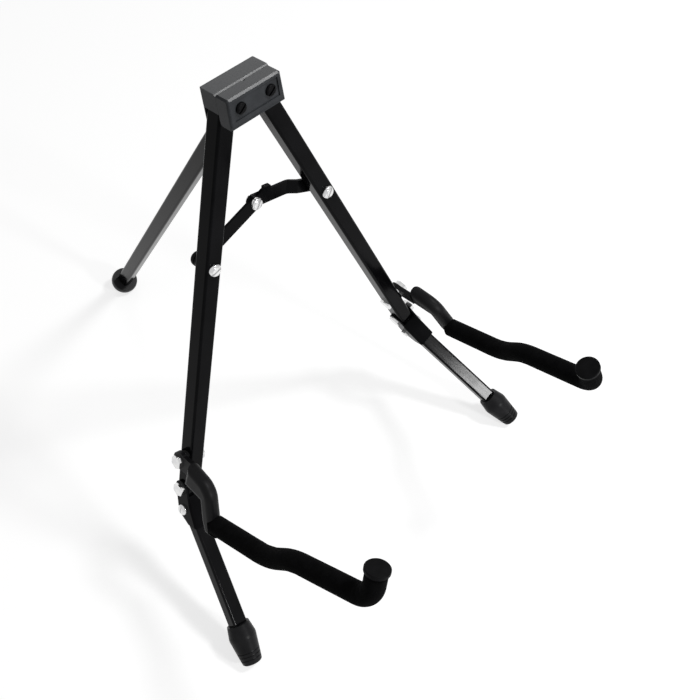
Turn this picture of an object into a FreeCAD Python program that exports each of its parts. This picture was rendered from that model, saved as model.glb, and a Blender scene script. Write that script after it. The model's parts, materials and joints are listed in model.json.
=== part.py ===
import FreeCAD, Part
import os
from math import atan2, cos, degrees, radians, sin, sqrt, tan
from FreeCAD import Vector

# Folding guitar stand, millimetres, +Z up, -Y towards the guitar. Angles in degrees.
# Stance of the open stand
leg_splay = 20.4
plane_lean = 9.4
knee_bend = 42.0
bracket_angle = 30.0
rear_spread = 31.0

# Along an upper leg: head pivot to link screw, to arm bolt, on to the bracket bolt, the knee and the floor
pivot_half = 11.6
link_drop = 114.6
arm_drop = 280.0
bolt_below_arm = 29.6
knee_below_bolt = 13.4
end_gap = 0.6
knee_pivot = 7.0
lower_reach = 141.0
bracket_bolt_drop = arm_drop + bolt_below_arm
knee_drop = bracket_bolt_drop + knee_below_bolt
upper_end = knee_drop - end_gap

# Tubes
tube_width = 12.6
tube_depth = 13.0
lower_depth = 10.2
rear_width = 10.0
rear_depth = 12.0
tube_wall = 1.2
tube_corner = 1.8
tube_top = 6.3

# Clearances
running_fit = 0.05
side_gap = 0.15
seat_gap = 0.1
face_gap = 0.3

# How far cutting solids run past what they cut
beyond = 40.0
ground_reach = 500.0

# Head shells
head_top_half = 20.7
head_bottom_half = 21.3
head_top = 9.2
head_bottom = 11.4
rear_skirt = 2.2
front_thick = 17.8
rear_thick = 8.7
shell_wall = 2.4
side_wall_drop = 4.2
boss_round = 4.6
seam_gap = 0.12
seam_bevel = 1.1
rim_bevel = 1.2
shell_round = 1.6
panel_depth = 0.8
panel_half = 17.6
panel_top = 6.2
panel_bottom = 6.4
ledge_depth = 0.9
ledge_height = 2.2
notch_width = 2.2
notch_long = 1.8

# Rear hinge, seen from the leg pivots
hinge_back = 4.8
hinge_drop = 12.4
hinge_pin = 4.0
lug_round = 4.2
fork_clear = 4.8

# Fasteners
pivot_screw = 5.0
pivot_head = 7.6
pivot_head_high = 2.0
pivot_nut_flats = 8.0
pivot_nut_high = 3.0
link_screw = 5.0
link_head = 9.4
link_head_high = 3.0
slot_width = 1.3
slot_depth = 1.1
slot_turn = 35.0
dome_share = 0.82
cap_nut_round = 5.4
cap_nut_high = 4.6
cap_nut_dome = 2.8
cap_nut_deep = 2.6
knee_nut_flats = 7.0
bolt_shank = 6.0
bolt_flats = 9.6
bolt_high = 3.6
bolt_nut_high = 2.2
washer_round = 13.0
washer_thick = 1.2

# Spreader links
link_width = 10.0
link_thick = 2.2
mid_rise = 16.0
dogleg_rise = 3.0
dogleg_share = 0.42
joggle_start = 0.30
joggle_end = 0.46
tab_start = 7.8
tab_end = 13.2
tab_high = 4.0
tab_reach = 1.1
finger_lap = 0.5
rivet_head = 8.0
rivet_high = 1.4

# Knuckle brackets, seen from the knee pivot along the bracket's own slope
sheet = 1.5
web_stand = 8.8
web_top = 11.0
web_bottom = 16.0
bracket_bend = 2.0
cheek_round = 6.6
cheek_tail = 5.6
bracket_screw = 4.0
bracket_head = 9.0
bracket_head_high = 2.8
tail_top = 3.0
tail_bottom = 4.0
toe_rise = 3.0
toe_back = 1.0

# Front boots
boot_long = 33.0
boot_collar = 9.1
boot_bulge = 11.0
boot_end = 8.0
boot_bulge_at = 11.5
boot_end_wall = 5.0
boot_groove = 0.5
boot_groove_wide = 1.1
boot_groove_pitch = 3.0
boot_groove_first = 4.0
boot_groove_count = 3
boot_groove_slope = 0.2
boot_end_bevel = 0.8
boot_bulge_long = 2.0
floor_flat = 1.2

# Rear ball foot
ball_round = 12.6
ball_flat = 0.7
ball_rim = 4.6
ball_socket = 3.0

# Cradle arms: points out from the leg, forward and up from the arm pivot
arm_root = (12.6, 47.2, -27.0)
arm_valley = (14.4, 107.5, -9.7)
arm_peak = (17.0, 131.5, 11.1)
arm_elbow = (18.0, 200.0, 36.0)
arm_tip = (17.7, 198.8, 59.9)
wave_round = 55.0
elbow_round = 17.0
rod_round = 3.5
foam_round = 7.6
rod_insert = 8.0
cap_round = 8.7
cap_thick = 3.2
cap_seat = 2.2
cap_bevel = 0.6

# Arm base: an eye on the bolt and a hood, its side view given forward and up from the arm pivot
eye_round = 7.4
eye_thick = 3.6
eye_start = 7.9
eye_trim = 1.0
hood_wide = 11.6
hood_rear = [(14.5, -8.5), (17.0, 11.0)]
hood_brow = [(36.0, 7.4), (44.0, 0.8)]
hood_front = [(49.0, -17.0), (54.0, -34.5)]
hood_under = [(43.0, -36.0), (38.0, -26.0), (34.0, -10.0)]
brow_round = 17.0
hood_round = 5.0
mouth_clear = 0.8


def turned(shape, axis, angle, base=Vector(0, 0, 0)):
    moved = shape.copy()
    moved.rotate(base, axis, angle)
    return moved


def shifted(shape, x, y, z):
    moved = shape.copy()
    moved.translate(Vector(x, y, z))
    return moved


axis_x = Vector(1, 0, 0)
axis_y = Vector(0, 1, 0)
axis_z = Vector(0, 0, 1)

# Height of the leg pivots that sets the boots on the floor
drop_plane = cos(radians(leg_splay)) * cos(radians(plane_lean))
lower_fall = cos(radians(knee_bend)) * drop_plane - sin(radians(knee_bend)) * sin(radians(plane_lean))
boot_low = boot_end * sqrt(1 - lower_fall * lower_fall)
pivot_height = knee_drop * drop_plane + lower_reach * lower_fall + boot_low - floor_flat

# Rear leg length that sets its ball on the floor
hinge_z = pivot_height - hinge_drop * cos(radians(plane_lean)) - hinge_back * sin(radians(plane_lean))
rear_reach = (hinge_z - ball_round + ball_flat) / cos(radians(rear_spread))


def to_head(shape):
    return shifted(turned(shape, axis_x, -plane_lean), 0, 0, pivot_height)


def to_leg(shape, side):
    splayed = turned(shape, axis_y, -side * leg_splay)
    return to_head(shifted(splayed, side * pivot_half, 0, 0))


def to_lower(shape, side):
    bent = turned(shape, axis_x, -knee_bend)
    return to_leg(shifted(bent, 0, 0, -knee_drop), side)


def to_arm(shape, side):
    return to_leg(shifted(shape, 0, 0, -arm_drop), side)


def to_bracket(shape, side):
    sloped = turned(shape, axis_x, -bracket_angle)
    forward = knee_pivot * sin(radians(knee_bend))
    down = knee_drop + knee_pivot * cos(radians(knee_bend))
    return to_leg(shifted(sloped, 0, -forward, -down), side)


def to_rear(shape):
    opened = turned(shape, axis_x, rear_spread + plane_lean)
    return to_head(shifted(opened, 0, hinge_back, -hinge_drop))


def block(x0, x1, y0, y1, z0, z1):
    return Part.makeBox(x1 - x0, y1 - y0, z1 - z0, Vector(x0, y0, z0))


def rod_x(radius, x0, x1, y=0.0, z=0.0):
    return Part.makeCylinder(radius, x1 - x0, Vector(x0, y, z), axis_x)


def rod_y(radius, y0, y1, x=0.0, z=0.0):
    return Part.makeCylinder(radius, y1 - y0, Vector(x, y0, z), axis_y)


def rod_z(radius, z0, z1):
    return Part.makeCylinder(radius, z1 - z0, Vector(0, 0, z0), axis_z)


def edges_along(shape, axis, keep=None):
    found = []
    for edge in shape.Edges:
        first = edge.Vertexes[0].Point
        last = edge.Vertexes[-1].Point
        run = last.sub(first)
        if run.Length < 1e-6:
            continue
        if abs(abs(run.normalize().dot(axis)) - 1) > 1e-6:
            continue
        if keep is None or keep(edge.CenterOfMass):
            found.append(edge)
    return found


def bar(width, depth, corner, z0, z1):
    solid = block(-width / 2, width / 2, -depth / 2, depth / 2, z0, z1)
    return solid.makeFillet(corner, edges_along(solid, axis_z))


def tube(width, depth, z0, z1):
    inside = tube_corner - tube_wall
    outer = bar(width, depth, tube_corner, z0, z1)
    inner = bar(width - 2 * tube_wall, depth - 2 * tube_wall, inside, z0 - 1, z1 + 1)
    return outer.cut(inner)


def hexagon(flats, high):
    corner = flats / sqrt(3)
    points = [Vector(corner * cos(radians(60 * i)), corner * sin(radians(60 * i)), 0) for i in range(7)]
    return Part.Face(Part.makePolygon(points)).extrude(Vector(0, 0, high))


# A hex head or nut whose axis lies along X
def hexagon_x(flats, x0, x1):
    return shifted(turned(hexagon(flats, x1 - x0), axis_y, 90), x0, 0, 0)


# A hex nut whose axis lies along Y
def hexagon_y(flats, y0, y1):
    return shifted(turned(hexagon(flats, y1 - y0), axis_x, -90), 0, y0, 0)


# Domed slotted head standing on z = 0, its top at +Z
def slotted_head(width, high):
    dome = rod_z(width / 2, 0, high)
    top = [e for e in dome.Edges if abs(e.CenterOfMass.z - high) < 1e-6 and len(e.Vertexes) == 1]
    dome = dome.makeFillet(high * dome_share, top)
    slot = block(-width, width, -slot_width / 2, slot_width / 2, high - slot_depth, high + 1)
    return dome.cut(turned(slot, axis_z, slot_turn))


# The same head facing the front, its seat on y = seat
def slotted_head_front(width, high, seat):
    return shifted(turned(slotted_head(width, high), axis_x, 90), 0, seat, 0)


# The same head facing outward on one side, its seat at x = seat
def slotted_head_side(width, high, seat, side):
    return shifted(turned(slotted_head(width, high), axis_y, side * 90), side * seat, 0, 0)


def rounded_path(points, rounds):
    edges = []
    start = points[0]
    for i in range(1, len(points) - 1):
        here = points[i]
        back = points[i - 1].sub(here).normalize()
        ahead = points[i + 1].sub(here).normalize()
        half = back.getAngle(ahead) / 2
        reach = rounds[i - 1] / tan(half)
        first = here.add(back * reach)
        last = here.add(ahead * reach)
        middle = here.add((back + ahead).normalize() * (rounds[i - 1] / sin(half) - rounds[i - 1]))
        edges.append(Part.makeLine(start, first))
        edges.append(Part.Arc(first, middle, last).toShape())
        start = last
    edges.append(Part.makeLine(start, points[-1]))
    return Part.Wire(edges)


def swept_round(path, radius):
    first = path.Edges[0]
    start = first.valueAt(first.FirstParameter)
    along = first.tangentAt(first.FirstParameter)
    ring = Part.Wire(Part.makeCircle(radius, start, along))
    return path.makePipeShell([ring], True, True)


# The mirror image for the left side, across the leg's own middle plane
def handed(shape, side):
    if side > 0:
        return shape
    return shape.mirror(Vector(0, 0, 0), axis_x)


nodes = {}


def save(name, shape):
    if shape.ShapeType == "Compound" and len(shape.Solids) == 1:
        shape = shape.Solids[0]
    nodes[name] = shape


os.makedirs("parts", exist_ok=True)

half_w = tube_width / 2
half_d = tube_depth / 2
cavity = half_d + face_gap
sides = [("left", -1), ("right", 1)]


# Head shells, the seam plane just before the front faces of the legs
def shell_body(y0, y1, bottom):
    spread = (head_bottom_half - head_top_half) / (head_top + head_bottom)
    low_half = head_top_half + spread * (head_top + bottom)
    outline = [(-low_half, -bottom), (low_half, -bottom)]
    outline += [(head_top_half, head_top), (-head_top_half, head_top)]
    points = [Vector(x, y0, z) for x, z in outline]
    return Part.Face(Part.makePolygon(points + [points[0]])).extrude(Vector(0, y1 - y0, 0))


def top_edges(shape, chosen):
    return edges_along(shape, axis_x, lambda p: p.z > head_top - 1e-6 and chosen(p.y))


seam = -(half_d + face_gap)
face = -front_thick
front = shell_body(-front_thick, seam - seam_gap / 2, head_bottom)
face_edges = [e for e in front.Edges if abs(e.CenterOfMass.y + front_thick) < 1e-6]
front = front.makeFillet(shell_round, [e for e in face_edges if abs(e.CenterOfMass.x) > 1])
front = front.makeChamfer(rim_bevel, top_edges(front, lambda y: y < seam - shell_wall))
front = front.makeChamfer(seam_bevel / 2, top_edges(front, lambda y: y > seam - shell_wall))
room_top = tube_top + face_gap
side_room = head_top_half - shell_wall
floor_in = -head_bottom + shell_wall
roof_in = head_top - shell_wall
hollow = block(-side_room, side_room, face + shell_wall, beyond, floor_in, roof_in)
for name, side in sides:
    hollow = hollow.cut(rod_y(boss_round, -beyond, beyond, side * pivot_half))
front = front.cut(hollow)
panel = block(-panel_half, panel_half, -beyond, face + panel_depth, -panel_bottom, panel_top)
front = front.cut(panel)
step_top = -head_bottom + ledge_height
front = front.cut(block(-beyond, beyond, -beyond, face + ledge_depth, -beyond, step_top))
notch_half = notch_width / 2
notch = block(-notch_half, notch_half, seam - notch_long, beyond, head_top - seam_bevel, beyond)
front = front.cut(notch)
for name, side in sides:
    front = front.cut(rod_y(pivot_screw / 2 + running_fit, -beyond, beyond, side * pivot_half))
save("head_front_shell", to_head(front))

# Rear shell: roof, back wall and short side walls over the leg tops, with a lug inside the rear leg's fork
rear = shell_body(seam + seam_gap / 2, rear_thick, head_bottom + rear_skirt)
rear_edges = [e for e in rear.Edges if abs(e.CenterOfMass.y - rear_thick) < 1e-6]
rear = rear.makeFillet(shell_round, rear_edges)
rear = rear.makeChamfer(seam_bevel, top_edges(rear, lambda y: y < 0))
leg_room = half_w + face_gap
room = block(-pivot_half, pivot_half, -beyond, cavity, -beyond, room_top)
room = room.fuse(block(-beyond, beyond, -beyond, cavity, -beyond, -side_wall_drop))
across = Vector(cos(radians(leg_splay)), 0, sin(radians(leg_splay)))
down = Vector(sin(radians(leg_splay)), 0, -cos(radians(leg_splay)))
edge = Vector(pivot_half, -beyond, 0).add(across * leg_room)
corners = [Vector(0, -beyond, 0), edge, edge.add(down * beyond), Vector(0, -beyond, -beyond)]
beside = Part.Face(Part.makePolygon(corners + [corners[0]])).extrude(Vector(0, beyond + cavity, 0))
for name, side in sides:
    room = room.fuse(rod_y(leg_room, -beyond, cavity, side * pivot_half)).fuse(handed(beside, side))
rear = rear.cut(room)
slot_half = rear_width / 2 + face_gap
slot_top = -hinge_drop + rear_depth / 2 + face_gap
rear = rear.cut(block(-slot_half, slot_half, 0, beyond, -beyond, slot_top))
lug_half = rear_width / 2 - tube_wall - side_gap
lug_rear = min(hinge_back + lug_round, rear_thick)
lug = block(-lug_half, lug_half, hinge_back - lug_round, lug_rear, -hinge_drop, head_top - rim_bevel)
lug = lug.fuse(rod_x(lug_round, -lug_half, lug_half, hinge_back, -hinge_drop))
rear = rear.fuse(lug).removeSplitter()
rear = rear.cut(rod_x(hinge_pin / 2 + running_fit, -beyond, beyond, hinge_back, -hinge_drop))
for name, side in sides:
    rear = rear.cut(rod_y(pivot_screw / 2 + running_fit, -beyond, beyond, side * pivot_half))
save("head_rear_shell", to_head(rear))

screws = []
nuts = []
for name, side in sides:
    x = side * pivot_half
    seat = -front_thick + panel_depth
    head = slotted_head_front(pivot_head, pivot_head_high, seat)
    shank = rod_y(pivot_screw / 2, seat, rear_thick + pivot_nut_high)
    nut = hexagon_y(pivot_nut_flats, rear_thick, rear_thick + pivot_nut_high)
    screws.append(shifted(head.fuse(shank), x, 0, 0))
    nuts.append(shifted(nut.cut(rod_y(pivot_screw / 2, 0, beyond)), x, 0, 0))
save("leg_pivot_screws", to_head(Part.makeCompound(screws)))
save("leg_pivot_nuts", to_head(Part.makeCompound(nuts)))

# Upper legs, round at the head pivot and cut square above the knee
link_seat = half_d + face_gap
nut_seat = link_seat + link_thick + face_gap
cheek_in = half_w + side_gap
cheek_out = cheek_in + sheet
for name, side in sides:
    leg = tube(tube_width, tube_depth, -upper_end, tube_top)
    keep = rod_y(tube_top, -half_d, half_d)
    leg = leg.common(keep.fuse(block(-half_w, half_w, -half_d, half_d, -upper_end, 0)))
    leg = leg.cut(rod_y(pivot_screw / 2 + running_fit, -beyond, beyond))
    leg = leg.cut(rod_y(link_screw / 2, -beyond, beyond, 0, -link_drop))
    leg = leg.cut(rod_x(bolt_shank / 2, -beyond, beyond, 0, -arm_drop))
    leg = leg.cut(rod_x(bolt_shank / 2, -beyond, beyond, 0, -bracket_bolt_drop))
    save(name + "_upper_tube", to_leg(leg, side))

    head = slotted_head_front(link_head, link_head_high, -half_d)
    shank_end = nut_seat + cap_nut_deep
    screw = head.fuse(rod_y(link_screw / 2, -half_d, shank_end))
    save(name + "_link_screw", to_leg(shifted(screw, 0, 0, -link_drop), side))
    nut_end = nut_seat + cap_nut_high
    nut = rod_y(cap_nut_round, nut_seat, nut_end)
    nut = nut.makeFillet(cap_nut_dome, [e for e in nut.Edges if abs(e.CenterOfMass.y - nut_end) < 1e-6])
    nut = nut.cut(rod_y(link_screw / 2, 0, shank_end))
    save(name + "_link_nut", to_leg(shifted(nut, 0, 0, -link_drop), side))

    # Bracket bolt: hex head outside, nut inside, clamping the cheeks
    bolt = hexagon_x(bolt_flats, cheek_out, cheek_out + bolt_high)
    bolt = bolt.fuse(rod_x(bolt_shank / 2, -cheek_out - bolt_nut_high, cheek_out + bolt_high / 2))
    nut = hexagon_x(bolt_flats, -cheek_out - bolt_nut_high, -cheek_out)
    nut = nut.cut(rod_x(bolt_shank / 2, -beyond, beyond))
    save(name + "_bracket_bolt", to_leg(shifted(handed(bolt, side), 0, 0, -bracket_bolt_drop), side))
    save(name + "_bracket_nut", to_leg(shifted(handed(nut, side), 0, 0, -bracket_bolt_drop), side))

# Knuckle brackets: bent sheet, web in front, open behind, bolted to the upper leg
ground = block(-ground_reach, ground_reach, -ground_reach, ground_reach, -beyond, 0)
pivot_ahead = knee_pivot * sin(radians(knee_bend))
pivot_below = knee_drop + knee_pivot * cos(radians(knee_bend)) - bracket_bolt_drop
slope = radians(bracket_angle)
bolt_y = pivot_ahead * cos(slope) - pivot_below * sin(slope)
bolt_z = pivot_ahead * sin(slope) + pivot_below * cos(slope)
for name, side in sides:
    web_out = web_stand + sheet
    side_view = [(-web_out, web_top), (-web_out, -web_bottom), (-toe_back, -web_bottom + toe_rise)]
    side_view += [(cheek_tail, -tail_bottom), (cheek_tail, tail_top)]
    side_view += [(bolt_y + cheek_round, bolt_z), (bolt_y - cheek_round, bolt_z)]
    points = [Vector(-cheek_out, y, z) for y, z in side_view]
    body = Part.Face(Part.makePolygon(points + [points[0]])).extrude(Vector(2 * cheek_out, 0, 0))
    body = body.makeFillet(bracket_bend, edges_along(body, axis_z, lambda p: p.y < -web_out + 1e-6))
    body = body.fuse(rod_x(cheek_round, -cheek_out, cheek_out, bolt_y, bolt_z)).removeSplitter()
    body = body.cut(block(-cheek_in, cheek_in, -web_stand, beyond, -beyond, beyond))
    body = body.cut(block(-cheek_in, cheek_in, -beyond, beyond, web_top, beyond))
    body = body.cut(rod_x(bolt_shank / 2, -beyond, beyond, bolt_y, bolt_z))
    body = body.cut(rod_x(bracket_screw / 2, -beyond, beyond))
    save(name + "_knuckle_bracket", to_bracket(body, side))

    # Knee pivot screw, held by the bracket
    head = slotted_head_side(bracket_head, bracket_head_high, cheek_out, 1)
    shank = rod_x(bracket_screw / 2, -cheek_out - bolt_nut_high, cheek_out + bracket_head_high / 4)
    nut = hexagon_x(knee_nut_flats, -cheek_out - bolt_nut_high, -cheek_out)
    nut = nut.cut(rod_x(bracket_screw / 2, -beyond, beyond))
    save(name + "_knee_screw", to_bracket(handed(head.fuse(shank), side), side))
    save(name + "_knee_nut", to_bracket(handed(nut, side), side))

    # Lower leg, round at its top end where it turns on the knee screw
    lower_half = lower_depth / 2
    lower = tube(tube_width, lower_depth, -lower_reach + boot_end_wall + seat_gap, -knee_pivot + lower_half)
    keep = rod_x(lower_half, -half_w, half_w, 0, -knee_pivot)
    keep = keep.fuse(block(-half_w, half_w, -lower_half, lower_half, -lower_reach, -knee_pivot))
    lower = lower.common(keep)
    lower = lower.cut(rod_x(bracket_screw / 2 + running_fit, -beyond, beyond, 0, -knee_pivot))
    save(name + "_lower_tube", to_lower(lower, side))

    # Boot: turned outline round the lower tube, three grooves near the end, flat where it meets the floor
    end = -lower_reach
    high = end + boot_long
    outline = [(0, end), (boot_end - boot_end_bevel, end), (boot_end, end + boot_end_bevel)]
    for i in range(boot_groove_count):
        z = end + boot_groove_first + i * boot_groove_pitch
        grow = (boot_bulge - boot_end) / (boot_long - boot_bulge_at)
        r = boot_end + grow * (z - end)
        z_out = z + boot_groove_wide
        outline += [(r, z), (r - boot_groove, z + boot_groove_slope)]
        outline += [(r - boot_groove, z_out - boot_groove_slope), (r + grow * boot_groove_wide, z_out)]
    outline += [(boot_bulge, high - boot_bulge_at), (boot_bulge, high - boot_bulge_at + boot_bulge_long)]
    outline += [(boot_collar, high), (0, high)]
    points = [Vector(r, 0, z) for r, z in outline]
    boot = Part.Face(Part.makePolygon(points + [points[0]])).revolve(Vector(0, 0, 0), axis_z, 360)
    socket_floor = end + boot_end_wall
    hollow = bar(tube_width + seat_gap, lower_depth + seat_gap, tube_corner, socket_floor, high + beyond)
    boot = to_lower(boot.cut(hollow), side)
    save(name + "_boot", boot.cut(ground))

# Rear leg, forked at the top round the lug, and its ball foot
rear_half = rear_depth / 2
rear_leg = tube(rear_width, rear_depth, -rear_reach + ball_socket, rear_half)
keep = rod_x(rear_half, -rear_width / 2, rear_width / 2)
keep = keep.fuse(block(-rear_width / 2, rear_width / 2, -rear_half, rear_half, -rear_reach, 0))
rear_leg = rear_leg.common(keep)
fork_half = rear_width / 2 - tube_wall
rear_leg = rear_leg.cut(block(-fork_half, fork_half, -beyond, beyond, -fork_clear, beyond))
rear_leg = rear_leg.cut(rod_x(hinge_pin / 2, -beyond, beyond))
save("rear_tube", to_rear(rear_leg))
pin_half = rear_width / 2 - seat_gap
save("rear_hinge_pin", to_rear(rod_x(hinge_pin / 2, -pin_half, pin_half)))
ball = Part.makeSphere(ball_round, Vector(0, 0, -rear_reach))
ball = ball.cut(block(-beyond, beyond, -beyond, beyond, -rear_reach + ball_rim, -rear_reach + beyond))
socket_floor = -rear_reach + ball_socket - seat_gap
hollow = bar(rear_width + seat_gap, rear_depth + seat_gap, tube_corner, socket_floor, 0)
ball = to_rear(ball.cut(hollow))
save("rear_foot", ball.cut(ground))

# Spreader links in the leg plane: leg screw to mid pivot, the mid pivot above the line of the leg screws
screw_x = pivot_half + link_drop * sin(radians(leg_splay))
screw_z = -link_drop * cos(radians(leg_splay))
link_long = sqrt(screw_x ** 2 + mid_rise ** 2)
link_pitch = degrees(atan2(mid_rise, screw_x))
inner_slope = degrees(atan2(dogleg_rise, link_long * (1 - dogleg_share)))
layer_one = link_seat
layer_two = link_seat + link_thick + face_gap
half_l = link_width / 2


def strip(points, y0, thick):
    faces = []
    for (x0, z0), (x1, z1) in zip(points[:-1], points[1:]):
        run = Vector(x1 - x0, 0, z1 - z0)
        across = Vector(-run.z, 0, run.x).normalize() * half_l
        corners = [Vector(x0, y0, z0).add(across), Vector(x1, y0, z1).add(across)]
        corners += [Vector(x1, y0, z1).sub(across), Vector(x0, y0, z0).sub(across)]
        faces.append(Part.Face(Part.makePolygon(corners + [corners[0]])).extrude(Vector(0, thick, 0)))
    solid = faces[0]
    for extra in faces[1:]:
        solid = solid.fuse(extra)
    for x, z in points:
        solid = solid.fuse(rod_y(half_l, y0, y0 + thick, x, z))
    return solid.removeSplitter()


def in_plane(shape, side):
    pitched = turned(shape, axis_y, -link_pitch if side < 0 else link_pitch)
    return shifted(pitched, side * screw_x, 0, screw_z)


# A flat at the left link's end, drawn along and across the right link's inner run from the mid pivot
def finger(outline, y0, y1):
    points = [Vector(along, y0, across) for along, across in outline]
    solid = Part.Face(Part.makePolygon(points + [points[0]])).extrude(Vector(0, y1 - y0, 0))
    return in_plane(shifted(turned(solid, axis_y, -inner_slope), -link_long, 0, 0), 1)


hole = link_screw / 2 + running_fit
left_link = strip([(0, 0), (link_long, 0)], layer_one, link_thick)
left_link = in_plane(left_link.cut(rod_y(hole, 0, beyond)), -1)

# Its end runs on past the mid pivot to a tab that rests on the right link's top edge and stops the spread
rest = half_l + face_gap
top = rest + tab_high
root = half_l - finger_lap
lobe = [(0, root), (tab_start, top), (tab_end, top), (tab_end, rest), (root, 0), (0, 0)]
tab = [(tab_start, rest), (tab_end, rest), (tab_end, top), (tab_start, top)]
left_link = left_link.fuse(finger(lobe, layer_one, layer_one + link_thick))
left_link = left_link.fuse(finger(tab, layer_one, layer_two + tab_reach)).removeSplitter()
left_link = left_link.cut(rod_y(link_screw / 2, 0, beyond, 0, screw_z + mid_rise))
save("left_link", to_head(left_link))

# The right link rises to a knee and steps back one layer
bend_at = (-link_long * dogleg_share, dogleg_rise)
step_from = -link_long * joggle_start
step_to = -link_long * joggle_end
plan = strip([(0, 0), bend_at, (-link_long, 0)], layer_one, layer_two - layer_one + link_thick)
shape_side = [(beyond, layer_one), (step_from, layer_one), (step_to, layer_two), (-2 * beyond, layer_two)]
shape_side += [(-2 * beyond, layer_two + link_thick), (step_to, layer_two + link_thick)]
shape_side += [(step_from, layer_one + link_thick), (beyond, layer_one + link_thick)]
points = [Vector(x, y, -beyond) for x, y in shape_side]
joggle = Part.Face(Part.makePolygon(points + [points[0]])).extrude(Vector(0, 0, 2 * beyond))
right_link = plan.common(joggle)
right_link = right_link.cut(rod_y(hole, 0, beyond)).cut(rod_y(link_screw / 2, 0, beyond, -link_long))
save("right_link", to_head(in_plane(right_link, 1)))

# Mid pivot, parted between the two links: screw on the left link, rivet end on the right one
head = slotted_head_front(link_head, link_head_high, layer_one)
mid_screw = head.fuse(rod_y(link_screw / 2, layer_one, layer_one + link_thick))
save("mid_screw", to_head(in_plane(shifted(mid_screw, link_long, 0, 0), -1)))
stud = rod_y(link_screw / 2, layer_two, layer_two + link_thick + rivet_high / 2)
rivet_seat = layer_two + link_thick
mid_rivet = stud.fuse(rod_y(rivet_head / 2, rivet_seat, rivet_seat + rivet_high))
save("mid_rivet", to_head(in_plane(shifted(mid_rivet, -link_long, 0, 0), 1)))


# Cradle arms
def arm_point(place, side):
    return Vector(side * place[0], -place[1], place[2])


for name, side in sides:
    track = [arm_root, arm_valley, arm_peak, arm_elbow, arm_tip]
    points = [arm_point(p, side) for p in track]
    along = points[1].sub(points[0]).normalize()
    up_end = points[4].sub(points[3]).normalize()
    rounds = [wave_round, wave_round, elbow_round]
    inner = [points[0].sub(along * rod_insert)] + points[1:4] + [points[4].add(up_end * cap_seat)]
    core = rounded_path(inner, rounds)
    save(name + "_arm_rod", to_arm(swept_round(core, rod_round), side))

    covered = [points[0].add(along * seat_gap)] + points[1:4] + [points[4].sub(up_end * seat_gap)]
    sleeve = swept_round(rounded_path(covered, rounds), foam_round)
    sleeve = sleeve.cut(swept_round(core, rod_round + running_fit))
    save(name + "_arm_foam", to_arm(sleeve, side))

    cap = Part.makeCylinder(cap_round, cap_thick, points[4], up_end)
    cap = cap.makeChamfer(cap_bevel, [e for e in cap.Edges if len(e.Vertexes) == 1])
    seat = Part.makeCylinder(rod_round, cap_seat, points[4], up_end)
    save(name + "_arm_cap", to_arm(cap.cut(seat), side))

# Arm base, drawn for the right side: hood with a rounded brow, socket for the rod, eye on the bolt
side_view = hood_rear + hood_brow + hood_front + hood_under
corners = [Vector(eye_start, -forward, up) for forward, up in side_view]
hood = Part.Face(Part.makePolygon(corners + [corners[0]])).extrude(Vector(hood_wide, 0, 0))
brow = [Vector(0, -forward, up) for forward, up in hood_brow]


def on_brow(place):
    return any(abs(place.y - b.y) + abs(place.z - b.z) < 0.01 for b in brow)


hood = hood.makeFillet(brow_round, edges_along(hood, axis_x, on_brow))
mid_face = eye_start + hood_wide / 2
rims = [e for e in hood.Edges if abs(abs(e.CenterOfMass.x - mid_face) - hood_wide / 2) < 1e-6]
hood = hood.makeFillet(hood_round, rims)
eye = rod_x(eye_round, eye_start, eye_start + eye_thick)
neck_low = hood_rear[0][1] + eye_trim
neck = block(eye_start, eye_start + eye_thick, -hood_rear[1][0], 0, neck_low, eye_round - eye_trim)
eye = eye.fuse(neck)
base = hood.fuse(eye).removeSplitter()
base = base.cut(rod_x(bolt_shank / 2 + running_fit, 0, beyond))
mouth = arm_point(arm_root, 1)
inward = arm_point(arm_valley, 1).sub(mouth).normalize()
base = base.cut(Part.makeCylinder(foam_round + mouth_clear, beyond, mouth, inward))
socket = Part.makeCylinder(rod_round, rod_insert + rod_round, mouth.sub(inward * rod_insert), inward)
base = base.cut(socket)
for name, side in sides:
    save(name + "_arm_base", to_arm(handed(base, side), side))

    ring = rod_x(washer_round / 2, half_w + side_gap, half_w + side_gap + washer_thick)
    ring = ring.cut(rod_x(bolt_shank / 2, 0, beyond))
    bolt_seat = eye_start + eye_thick + side_gap
    bolt = hexagon_x(bolt_flats, bolt_seat, bolt_seat + bolt_high)
    bolt = bolt.fuse(rod_x(bolt_shank / 2, -half_w - bolt_nut_high, bolt_seat + bolt_high / 2))
    nut = hexagon_x(bolt_flats, -half_w - bolt_nut_high, -half_w)
    nut = nut.cut(rod_x(bolt_shank / 2, -beyond, beyond))
    save(name + "_arm_washer", to_arm(handed(ring, side), side))
    save(name + "_arm_bolt", to_arm(handed(bolt, side), side))
    save(name + "_arm_nut", to_arm(handed(nut, side), side))

everything = Part.makeCompound(list(nodes.values())).optimalBoundingBox(False)
middle = -(everything.YMin + everything.YMax) / 2
for name, shape in nodes.items():
    shifted(shape, 0, middle, 0).exportStep("parts/" + name + ".step")
print("moved along Y by", round(middle, 4))
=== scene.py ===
import bpy
import json
from math import radians
from mathutils import Matrix, Quaternion, Vector


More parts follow.
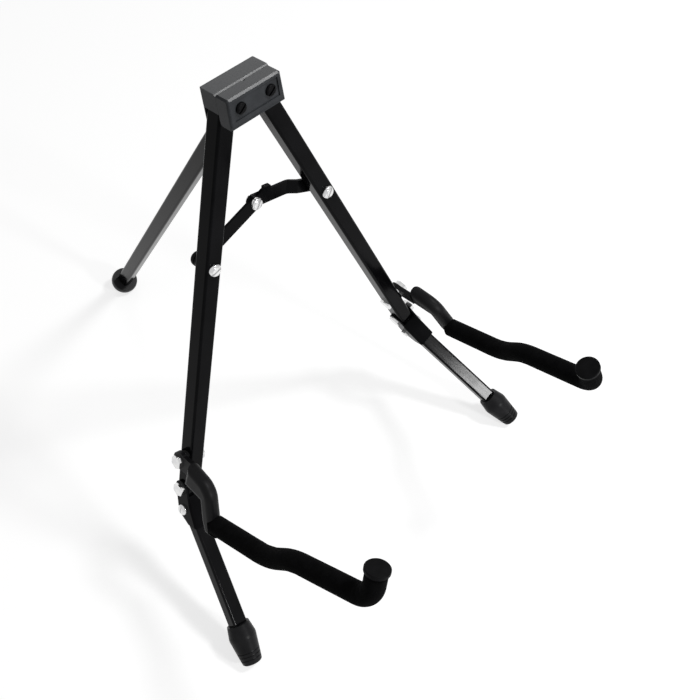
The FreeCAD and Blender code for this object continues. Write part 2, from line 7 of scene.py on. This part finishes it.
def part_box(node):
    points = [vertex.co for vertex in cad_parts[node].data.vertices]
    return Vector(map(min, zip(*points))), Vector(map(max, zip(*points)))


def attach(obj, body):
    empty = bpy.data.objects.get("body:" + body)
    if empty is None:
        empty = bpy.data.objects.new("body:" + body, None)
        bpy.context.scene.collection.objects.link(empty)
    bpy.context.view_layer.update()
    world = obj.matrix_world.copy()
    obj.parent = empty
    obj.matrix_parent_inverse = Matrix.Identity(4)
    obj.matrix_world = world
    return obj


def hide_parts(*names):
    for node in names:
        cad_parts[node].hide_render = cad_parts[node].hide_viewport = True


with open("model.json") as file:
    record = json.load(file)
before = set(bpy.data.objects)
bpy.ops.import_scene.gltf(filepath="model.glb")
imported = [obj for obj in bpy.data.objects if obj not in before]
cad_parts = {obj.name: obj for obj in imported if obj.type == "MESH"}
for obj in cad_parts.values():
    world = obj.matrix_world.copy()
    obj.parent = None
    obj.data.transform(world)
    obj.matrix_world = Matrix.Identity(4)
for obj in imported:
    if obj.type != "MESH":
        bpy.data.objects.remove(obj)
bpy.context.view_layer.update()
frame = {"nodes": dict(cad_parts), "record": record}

scene = bpy.context.scene
scene.view_settings.view_transform = "Standard"
nodes = frame["nodes"]
joints = {j["name"]: j for j in frame["record"]["behaviour"]["joints"]}
sides = ("left", "right")
print("frame loaded,", len(nodes), "nodes")

# camera, solved against the legs, head and arm ends of the picture (metres, degrees)
cameraSet = {
    "lens": 48.3, "sensor": 36.0, "nearest": 0.02, "place": (-0.2751, -0.3587, 0.7572),
    "azimuth": -46.41, "height": 54.93, "roll": 1.94,
}
camData = bpy.data.cameras.new("standCamera")
camData.lens = cameraSet["lens"]
camData.sensor_width = cameraSet["sensor"]
camData.clip_start = cameraSet["nearest"]
cam = bpy.data.objects.new("standCamera", camData)
scene.collection.objects.link(cam)
aroundTurn = Matrix.Rotation(radians(cameraSet["azimuth"]), 3, "Z")
downTurn = Matrix.Rotation(radians(90 - cameraSet["height"]), 3, "X")
rollTurn = Quaternion((0, 0, 1), radians(cameraSet["roll"]))
cam.rotation_mode = "QUATERNION"
cam.rotation_quaternion = (aroundTurn @ downTurn).to_quaternion() @ rollTurn
cam.location = cameraSet["place"]
scene.camera = cam
print("camera set")

noiseSpan = (0.3, 0.7)  # where most of a noise's values lie


# small helpers for node work
def addNode(tree, kind, values=None, **settings):
    node = tree.nodes.new(kind)
    for key, value in settings.items():
        setattr(node, key, value)
    for key, value in (values or {}).items():
        node.inputs[key].default_value = value
    return node


# a math node's result; each value is a number or another node's output
def mathOf(tree, operation, *values, kind="ShaderNodeMath", result="Value"):
    node = addNode(tree, kind, operation=operation)
    for socket, value in zip(node.inputs, values):
        if isinstance(value, bpy.types.NodeSocket):
            tree.links.new(value, socket)
        else:
            socket.default_value = value
    return node.outputs[result]


def addUp(tree, first, second, share):
    return mathOf(tree, "MULTIPLY_ADD", second, share, first)


def mapped(tree, where, values):
    mapping = addNode(tree, "ShaderNodeMapping", values)
    tree.links.new(where, mapping.inputs["Vector"])
    return mapping.outputs["Vector"]


def noiseAt(tree, where, scale, detail):
    noise = addNode(tree, "ShaderNodeTexNoise", {"Scale": scale, "Detail": detail, "Roughness": 0.55})
    tree.links.new(where, noise.inputs["Vector"])
    return noise.outputs["Fac"]


def spread(tree, value, low, high, span=noiseSpan):
    limits = {"From Min": span[0], "From Max": span[1], "To Min": low, "To Max": high}
    node = addNode(tree, "ShaderNodeMapRange", limits)
    tree.links.new(value, node.inputs["Value"])
    return node.outputs["Result"]


# a finish starts with its gloss; colour, roughness and bump then come from noise in the piece's space
def startMaterial(name, gloss, metallic=0.0):
    mat = bpy.data.materials.new(name)
    mat.use_nodes = True
    tree = mat.node_tree
    shader = tree.nodes["Principled BSDF"]
    shader.inputs["Specular IOR Level"].default_value = gloss
    shader.inputs["Metallic"].default_value = metallic
    where = tree.nodes.new("ShaderNodeTexCoord")
    return mat, tree, shader, where.outputs["Object"]


def twoTone(tree, value, shader, look, span=noiseSpan):
    ramp = tree.nodes.new("ShaderNodeValToRGB")
    for stop, place, tone in zip(ramp.color_ramp.elements, span, (look["dark"], look["light"])):
        stop.position = place
        stop.color = (*tone, 1)
    tree.links.new(value, ramp.inputs["Fac"])
    tree.links.new(ramp.outputs["Color"], shader.inputs["Base Color"])


def roughFrom(tree, value, shader, look, span=noiseSpan):
    rough = spread(tree, value, look["smooth"], look["dull"], span)
    tree.links.new(rough, shader.inputs["Roughness"])


def bumpFrom(tree, value, shader, look):
    bump = addNode(tree, "ShaderNodeBump", {"Strength": look["bump"], "Distance": look["depth"]})
    tree.links.new(value, bump.inputs["Height"])
    tree.links.new(bump.outputs["Normal"], shader.inputs["Normal"])


# stoved gloss black on tubes, links and brackets: faint orange peel, and draw marks that run along a tube
# clouds, marks and peel are a noise's scale and detail
paintSet = {
    "dark": (0.002, 0.002, 0.0024), "light": (0.005, 0.005, 0.0058), "clouds": (38, 4),
    "marks": (520, 3), "markStretch": (1, 1, 0.03), "markRough": 0.9, "markBump": 0.5, "peel": (300, 2),
    "smooth": 0.08, "dull": 0.2, "roughSpan": (0.6, 1.3), "bump": 0.018, "depth": 0.0004,
    "plainGloss": 0.035, "upperGloss": 0.035, "lowerGloss": 0.09, "rearGloss": 0.065,
}


def makeLegPaint(name, gloss, along=None):
    mat, tree, shader, where = startMaterial(name, gloss)
    cloud = noiseAt(tree, where, *paintSet["clouds"])
    if along:
        upright = along.rotation_difference(Vector((0, 0, 1))).to_euler()
        where = mapped(tree, where, {"Rotation": upright})
    marks = noiseAt(tree, mapped(tree, where, {"Scale": paintSet["markStretch"]}), *paintSet["marks"])
    peel = noiseAt(tree, where, *paintSet["peel"])
    twoTone(tree, cloud, shader, paintSet)
    streaks = addUp(tree, cloud, marks, paintSet["markRough"])
    roughFrom(tree, streaks, shader, paintSet, paintSet["roughSpan"])
    bumpFrom(tree, addUp(tree, peel, marks, paintSet["markBump"]), shader, paintSet)
    return mat


# moulded and coated pieces: soft clouds of tone under a fine grain
mouldedSet = {
    "headPlastic": {  # satin charcoal with a spark-eroded grain
        "dark": (0.028, 0.030, 0.033), "light": (0.048, 0.051, 0.056), "gloss": 0.07,
        "clouds": (90, 5), "grain": (2600, 2), "grainRough": 0.4, "smooth": 0.15, "dull": 0.23,
        "roughSpan": (0.45, 0.95), "bump": 0.02, "depth": 0.0003,
    },
    "bootRubber": {  # boots and ball foot, with a soft bloom
        "dark": (0.008, 0.008, 0.00864), "light": (0.016, 0.016, 0.01728), "gloss": 0.1,
        "clouds": (120, 5), "grain": (1800, 3), "grainRough": 0.5, "smooth": 0.33, "dull": 0.41,
        "roughSpan": (0.5, 1.0), "bump": 0.05, "depth": 0.0004,
    },
    "capRubber": {  # arm end caps, darker and duller than the boots
        "dark": (0.003, 0.003, 0.00324), "light": (0.007, 0.007, 0.00756), "gloss": 0.04,
        "clouds": (120, 5), "grain": (1800, 3), "grainRough": 0.5, "smooth": 0.34, "dull": 0.5,
        "roughSpan": (0.5, 1.0), "bump": 0.05, "depth": 0.0004,
    },
    "armBlack": {  # arm hoods, satin black with a broad soft highlight
        "dark": (0.002, 0.002, 0.0024), "light": (0.005, 0.005, 0.0058), "gloss": 0.13,
        "clouds": (70, 4), "grain": (900, 3), "grainRough": 0.5, "smooth": 0.42, "dull": 0.5,
        "roughSpan": (0.5, 1.0), "bump": 0.025, "depth": 0.0005,
    },
}


def makeMoulded(name):
    look = mouldedSet[name]
    mat, tree, shader, where = startMaterial(name, look["gloss"])
    cloud = noiseAt(tree, where, *look["clouds"])
    grain = noiseAt(tree, where, *look["grain"])
    twoTone(tree, cloud, shader, look)
    roughFrom(tree, addUp(tree, cloud, grain, look["grainRough"]), shader, look, look["roughSpan"])
    bumpFrom(tree, grain, shader, look)
    return mat


# bright zinc on screws, bolts, nuts, washers and rods
plateSet = {
    "dark": (0.64, 0.64, 0.65), "light": (0.80, 0.80, 0.79), "gloss": 0.5, "clouds": (260, 4),
    "smooth": 0.05, "dull": 0.16, "ripple": (420, 2), "bump": 0.03, "depth": 0.0003,
}


def makePlated():
    mat, tree, shader, where = startMaterial("brightPlate", plateSet["gloss"], metallic=1.0)
    cloud = noiseAt(tree, where, *plateSet["clouds"])
    twoTone(tree, cloud, shader, plateSet)
    roughFrom(tree, cloud, shader, plateSet)
    bumpFrom(tree, noiseAt(tree, where, *plateSet["ripple"]), shader, plateSet)
    return mat


# blackened screws of the head and the domed nuts behind the legs
blackScrewSet = {
    "dark": (0.002, 0.002, 0.0025), "light": (0.007, 0.007, 0.008), "gloss": 0.05, "oxide": (1100, 4),
    "smooth": 0.3, "dull": 0.5, "bump": 0.06, "depth": 0.0003,
}


def makeBlackScrew():
    mat, tree, shader, where = startMaterial("blackScrew", blackScrewSet["gloss"])
    oxide = noiseAt(tree, where, *blackScrewSet["oxide"])
    twoTone(tree, oxide, shader, blackScrewSet)
    roughFrom(tree, oxide, shader, blackScrewSet)
    bumpFrom(tree, oxide, shader, blackScrewSet)
    return mat


# closed-cell foam: matt, speckled by open surface cells
foamSet = {
    "dark": (0.0012, 0.0012, 0.0013), "light": (0.006, 0.006, 0.0064), "toneSpan": (0.4, 0.9),
    "gloss": 0.02, "sheen": 0.008, "sheenRough": 0.6, "cells": 1500, "cellTone": 0.35,
    "clouds": (160, 5), "cloudBump": 0.8, "smooth": 0.82, "dull": 0.95, "bump": 0.35, "depth": 0.0005,
}


def makeFoam():
    mat, tree, shader, where = startMaterial("blackFoam", foamSet["gloss"])
    shader.inputs["Sheen Weight"].default_value = foamSet["sheen"]
    shader.inputs["Sheen Roughness"].default_value = foamSet["sheenRough"]
    voronoi = addNode(tree, "ShaderNodeTexVoronoi", {"Scale": foamSet["cells"]})
    tree.links.new(where, voronoi.inputs["Vector"])
    cells = voronoi.outputs["Distance"]
    cloud = noiseAt(tree, where, *foamSet["clouds"])
    speckle = addUp(tree, cloud, cells, foamSet["cellTone"])
    twoTone(tree, speckle, shader, foamSet, foamSet["toneSpan"])
    roughFrom(tree, cloud, shader, foamSet)
    bumpFrom(tree, addUp(tree, cells, cloud, foamSet["cloudBump"]), shader, foamSet)
    return mat


finishes = {
    "leg_paint": makeLegPaint("legPaint", paintSet["plainGloss"]),
    "head_plastic": makeMoulded("headPlastic"),
    "plated": makePlated(),
    "black_screw": makeBlackScrew(),
    "rubber": makeMoulded("bootRubber"),
    "arm_black": makeMoulded("armBlack"),
    "foam": makeFoam(),
}
slotOf = {p["node"]: p["material_slot"] for p in frame["record"]["subparts"]}
for name, node in nodes.items():
    node.data.materials.clear()
    node.data.materials.append(finishes[slotOf[name]])

capRubber = makeMoulded("capRubber")
for side in sides:
    nodes[side + "_arm_cap"].data.materials[0] = capRubber


def jointPlace(name):
    return Vector(joints[name]["pos_m"])


def boxMiddle(name):
    low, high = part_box(name)
    return (Vector(low) + Vector(high)) / 2


# each tube has its own draw marks, from its joint to the far end
tubeRuns = {"rear_tube": (jointPlace("rear_leg_fold"), boxMiddle("rear_foot"), paintSet["rearGloss"])}
for side in sides:
    knee = jointPlace(side + "_knee")
    tubeRuns[side + "_upper_tube"] = (jointPlace(side + "_leg_fold"), knee, paintSet["upperGloss"])
    tubeRuns[side + "_lower_tube"] = (knee, boxMiddle(side + "_boot"), paintSet["lowerGloss"])
for name, (start, end, gloss) in tubeRuns.items():
    nodes[name].data.materials[0] = makeLegPaint(name + "Paint", gloss, (end - start).normalized())
print("finishes on", len(slotOf), "nodes")

# foam sleeves on the cradle arms, in millimetres: swept along the bent rod, softly uneven, with eased ends
# route points are out, ahead and up from the arm's pivot, and each has the radius of its bend
sleeveSet = {
    "route": [
        (2.6, 47.2, -27.0), (4.4, 107.5, -9.7), (7.0, 131.5, 11.1), (8.0, 200.0, 36.0), (7.7, 198.8, 59.9),
    ],
    "bends": [55, 55, 55, 17, 17], "bendSteps": 14,
    "radius": 7.6, "endGap": 0.15, "step": 0.7, "sides": 48,
    "ease": 1.4, "endSize": 0.88, "uneven": 0.16, "lumps": 85, "seed": {"left": 11.0, "right": 12.0},
    "crease": 20, "pitch": 5, "lookAhead": 3, "mostSqueeze": 0.07,
}


# millimetres out, ahead and up from an arm's own pivot, to metres in the frame
def armPlace(side, out, ahead, up):
    pivot = joints[side + "_arm_fold"]
    across = Vector(pivot["axis"])
    front = Vector(joints[side + "_leg_fold"]["axis"])
    legUp = front.cross(across)
    outward = -across if side == "left" else across
    return Vector(pivot["pos_m"]) + (outward * out + front * ahead + legUp * up) / 1000


def sleeveTree():
    tree = bpy.data.node_groups.new("foamSleeve", "GeometryNodeTree")
    addSocket = tree.interface.new_socket
    addSocket("Route", in_out="INPUT", socket_type="NodeSocketGeometry")
    addSocket("Sides", in_out="INPUT", socket_type="NodeSocketInt")
    for name in ("Radius", "Step", "Uneven", "Ease", "Crease", "Pitch", "Seed"):
        addSocket(name, in_out="INPUT", socket_type="NodeSocketFloat")
    addSocket("Finish", in_out="INPUT", socket_type="NodeSocketMaterial")
    addSocket("Sleeve", in_out="OUTPUT", socket_type="NodeSocketGeometry")
    link = tree.links.new
    given = tree.nodes.new("NodeGroupInput").outputs
    # round the route's corners, then cut it into even steps
    bendRound = tree.nodes.new("GeometryNodeInputRadius")
    bendShape = {"Count": sleeveSet["bendSteps"], "Limit Radius": True}
    fillet = addNode(tree, "GeometryNodeFilletCurve", bendShape, mode="POLY")
    link(given["Route"], fillet.inputs["Curve"])
    link(bendRound.outputs["Radius"], fillet.inputs["Radius"])
    dense = addNode(tree, "GeometryNodeResampleCurve", mode="LENGTH")
    link(fillet.outputs["Curve"], dense.inputs["Curve"])
    link(given["Step"], dense.inputs["Length"])
    # eased ends: the last millimetre or so rounds in
    along = tree.nodes.new("GeometryNodeSplineParameter").outputs["Length"]
    total = tree.nodes.new("GeometryNodeSplineLength").outputs["Length"]
    toEnd = mathOf(tree, "MINIMUM", along, mathOf(tree, "SUBTRACT", total, along))
    easeSize = {"To Min": sleeveSet["endSize"], "To Max": 1.0}
    ease = addNode(tree, "ShaderNodeMapRange", easeSize, interpolation_type="SMOOTHERSTEP")
    link(toEnd, ease.inputs["Value"])
    link(given["Ease"], ease.inputs["From Max"])
    # how sharply the route turns, kept for the creases that the foam takes inside a bend
    heading = tree.nodes.new("GeometryNodeInputTangent").outputs["Tangent"]
    index = tree.nodes.new("GeometryNodeInputIndex").outputs["Index"]
    later = addNode(tree, "GeometryNodeFieldAtIndex", data_type="FLOAT_VECTOR")
    link(heading, later.inputs["Value"])
    link(mathOf(tree, "ADD", index, sleeveSet["lookAhead"]), later.inputs["Index"])
    turning = mathOf(tree, "SUBTRACT", later.outputs["Value"], heading,
                     kind="ShaderNodeVectorMath", result="Vector")
    kept = tree.nodes.new("GeometryNodeCaptureAttribute")
    kept.capture_items.new("VECTOR", "Turning")
    kept.capture_items.new("FLOAT", "Along")
    link(dense.outputs["Curve"], kept.inputs["Geometry"])
    link(turning, kept.inputs["Turning"])
    link(along, kept.inputs["Along"])
    # sweep a ring along the route
    ring = addNode(tree, "GeometryNodeCurvePrimitiveCircle", mode="RADIUS")
    link(given["Sides"], ring.inputs["Resolution"])
    link(given["Radius"], ring.inputs["Radius"])
    sweep = addNode(tree, "GeometryNodeCurveToMesh", {"Fill Caps": True})
    link(kept.outputs["Geometry"], sweep.inputs["Curve"])
    link(ring.outputs["Curve"], sweep.inputs["Profile Curve"])
    link(ease.outputs["Result"], sweep.inputs["Scale"])
    # soft lumps all over, half in and half out
    lumpShape = {"Scale": sleeveSet["lumps"], "Detail": 3}
    lumps = addNode(tree, "ShaderNodeTexNoise", lumpShape, noise_dimensions="4D")
    spot = tree.nodes.new("GeometryNodeInputPosition")
    link(spot.outputs["Position"], lumps.inputs["Vector"])
    link(given["Seed"], lumps.inputs["W"])
    lumpSwing = mathOf(tree, "SUBTRACT", lumps.outputs["Fac"], 0.5)
    lumpSize = mathOf(tree, "MULTIPLY", lumpSwing, given["Uneven"])
    # creases across the inner side of the bends
    facing = tree.nodes.new("GeometryNodeInputNormal").outputs["Normal"]
    inside = mathOf(tree, "DOT_PRODUCT", facing, kept.outputs["Turning"], kind="ShaderNodeVectorMath")
    squeezed = addNode(tree, "ShaderNodeClamp", {"Min": 0.0, "Max": sleeveSet["mostSqueeze"]})
    link(inside, squeezed.inputs["Value"])
    creaseSpot = tree.nodes.new("ShaderNodeCombineXYZ")
    link(mathOf(tree, "DIVIDE", kept.outputs["Along"], given["Pitch"]), creaseSpot.inputs["X"])
    link(lumps.outputs["Fac"], creaseSpot.inputs["Y"])
    link(given["Seed"], creaseSpot.inputs["Z"])
    creases = addNode(tree, "ShaderNodeTexNoise", {"Scale": 1.0, "Detail": 1.0})
    link(creaseSpot.outputs["Vector"], creases.inputs["Vector"])
    creaseSwing = mathOf(tree, "SUBTRACT", creases.outputs["Fac"], 0.5)
    creaseSize = mathOf(tree, "MULTIPLY", creaseSwing, squeezed.outputs["Result"])
    push = addNode(tree, "ShaderNodeVectorMath", operation="SCALE")
    link(facing, push.inputs[0])
    link(mathOf(tree, "MULTIPLY_ADD", creaseSize, given["Crease"], lumpSize), push.inputs["Scale"])
    moved = tree.nodes.new("GeometryNodeSetPosition")
    link(sweep.outputs["Mesh"], moved.inputs["Geometry"])
    link(push.outputs["Vector"], moved.inputs["Offset"])
    smooth = tree.nodes.new("GeometryNodeSetShadeSmooth")
    link(moved.outputs["Geometry"], smooth.inputs["Geometry"])
    whole = tree.nodes.new("GeometryNodeRealizeInstances")
    link(smooth.outputs["Geometry"], whole.inputs["Geometry"])
    paint = tree.nodes.new("GeometryNodeSetMaterial")
    link(whole.outputs["Geometry"], paint.inputs["Geometry"])
    link(given["Finish"], paint.inputs["Material"])
    out = tree.nodes.new("NodeGroupOutput")
    link(paint.outputs["Geometry"], out.inputs["Sleeve"])
    return tree


# an open line through the points, with a bend radius on each
def routeCurve(name, points, bends):
    curve = bpy.data.curves.new(name, "CURVE")
    curve.dimensions = "3D"
    spline = curve.splines.new("POLY")
    spline.points.add(len(points) - 1)
    for point, place, bend in zip(spline.points, points, bends):
        point.co = (*place, 1)
        point.radius = bend / 1000
    maker = bpy.data.objects.new(name, curve)
    scene.collection.objects.link(maker)
    return maker


# what the modifier makes, as a mesh object of its own; the maker goes, and its modifier with it
def plainMesh(maker, name):
    dg = bpy.context.evaluated_depsgraph_get()
    mesh = bpy.data.meshes.new_from_object(maker.evaluated_get(dg), depsgraph=dg)
    mesh.name = name
    piece = bpy.data.objects.new(name, mesh)
    scene.collection.objects.link(piece)
    bpy.data.objects.remove(maker)
    return piece


sleeveNodes = sleeveTree()
ids = {s.name: s.identifier for s in sleeveNodes.interface.items_tree if s.in_out == "INPUT"}
gap = sleeveSet["endGap"] / 1000
for sideName in sides:
    points = [armPlace(sideName, *p) for p in sleeveSet["route"]]
    points[0] += (points[1] - points[0]).normalized() * gap
    points[-1] += (points[-2] - points[-1]).normalized() * gap
    maker = routeCurve(sideName + "Route", points, sleeveSet["bends"])
    modifier = maker.modifiers.new("sleeve", "NODES")
    modifier.node_group = sleeveNodes
    for name in ("radius", "step", "uneven", "ease", "crease", "pitch"):
        modifier[ids[name.capitalize()]] = sleeveSet[name] / 1000
    modifier[ids["Sides"]] = sleeveSet["sides"]
    modifier[ids["Seed"]] = sleeveSet["seed"][sideName]
    modifier[ids["Finish"]] = finishes["foam"]
    piece = plainMesh(maker, sideName + "FoamSleeve")
    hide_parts(sideName + "_arm_foam")
    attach(piece, sideName + "_arm")
print("foam sleeves made")


# 1 where a ray shows the picture, a mirror or glass, 0 where it only lights
def seenRays(tree):
    path = tree.nodes.new("ShaderNodeLightPath").outputs
    seen = mathOf(tree, "MAXIMUM", path["Is Camera Ray"], path["Is Glossy Ray"])
    return mathOf(tree, "MAXIMUM", seen, path["Is Transmission Ray"])


# plain pale floor, white to the camera and in gloss, with the stand's own soft shadow
floorSet = {"reach": 4.0, "sink": 0.0002, "colour": (0.5, 0.5, 0.5), "lift": 0.7}
reach = floorSet["reach"]
corners = [(-reach, -reach, 0), (reach, -reach, 0), (reach, reach, 0), (-reach, reach, 0)]
floorMesh = bpy.data.meshes.new("floor")
floorMesh.from_pydata(corners, [], [(0, 1, 2, 3)])
floor = bpy.data.objects.new("floor", floorMesh)
scene.collection.objects.link(floor)
floor.location.z = -floorSet["sink"]
floorMat, tree, shader, where = startMaterial("paleFloor", 0.0)
shader.inputs["Base Color"].default_value = (*floorSet["colour"], 1)
shader.inputs["Emission Color"].default_value = (1, 1, 1, 1)
floorLift = spread(tree, seenRays(tree), 0.0, floorSet["lift"], (0, 1))
tree.links.new(floorLift, shader.inputs["Emission Strength"])
floorMesh.materials.append(floorMat)

# the room: its fill light on the stand, and how white it shows
roomSet = {"fill": 0.25, "white": 0.83}
world = bpy.data.worlds.new("paleRoom")
scene.world = world
world.use_nodes = True
tree = world.node_tree
back = tree.nodes["Background"]
back.inputs["Color"].default_value = (1, 1, 1, 1)
roomLight = spread(tree, seenRays(tree), roomSet["fill"], roomSet["white"], (0, 1))
tree.links.new(roomLight, back.inputs["Strength"])

# soft boxes, all turned to the middle of the stand (metres, watts)
lampAim = Vector((0, 0, 0.2))
lampSet = {
    "keyBox": {"place": (0.67, -0.56, 1.48), "wide": 0.22, "high": 0.22, "watts": 9.8},
    "lowBox": {"place": (0.24, -1.25, 0.68), "wide": 0.18, "high": 0.13, "watts": 6.0},
    "backBox": {"place": (0.71, 1.19, 0.98), "wide": 0.34, "high": 0.34, "watts": 1.2},
}
for name, box in lampSet.items():
    data = bpy.data.lights.new(name, "AREA")
    data.shape = "RECTANGLE"
    data.size = box["wide"]
    data.size_y = box["high"]
    data.energy = box["watts"]
    lamp = bpy.data.objects.new(name, data)
    scene.collection.objects.link(lamp)
    lamp.location = box["place"]
    lamp.rotation_mode = "QUATERNION"
    lamp.rotation_quaternion = (lampAim - lamp.location).to_track_quat("-Z", "Y")
print("room and lamps set")
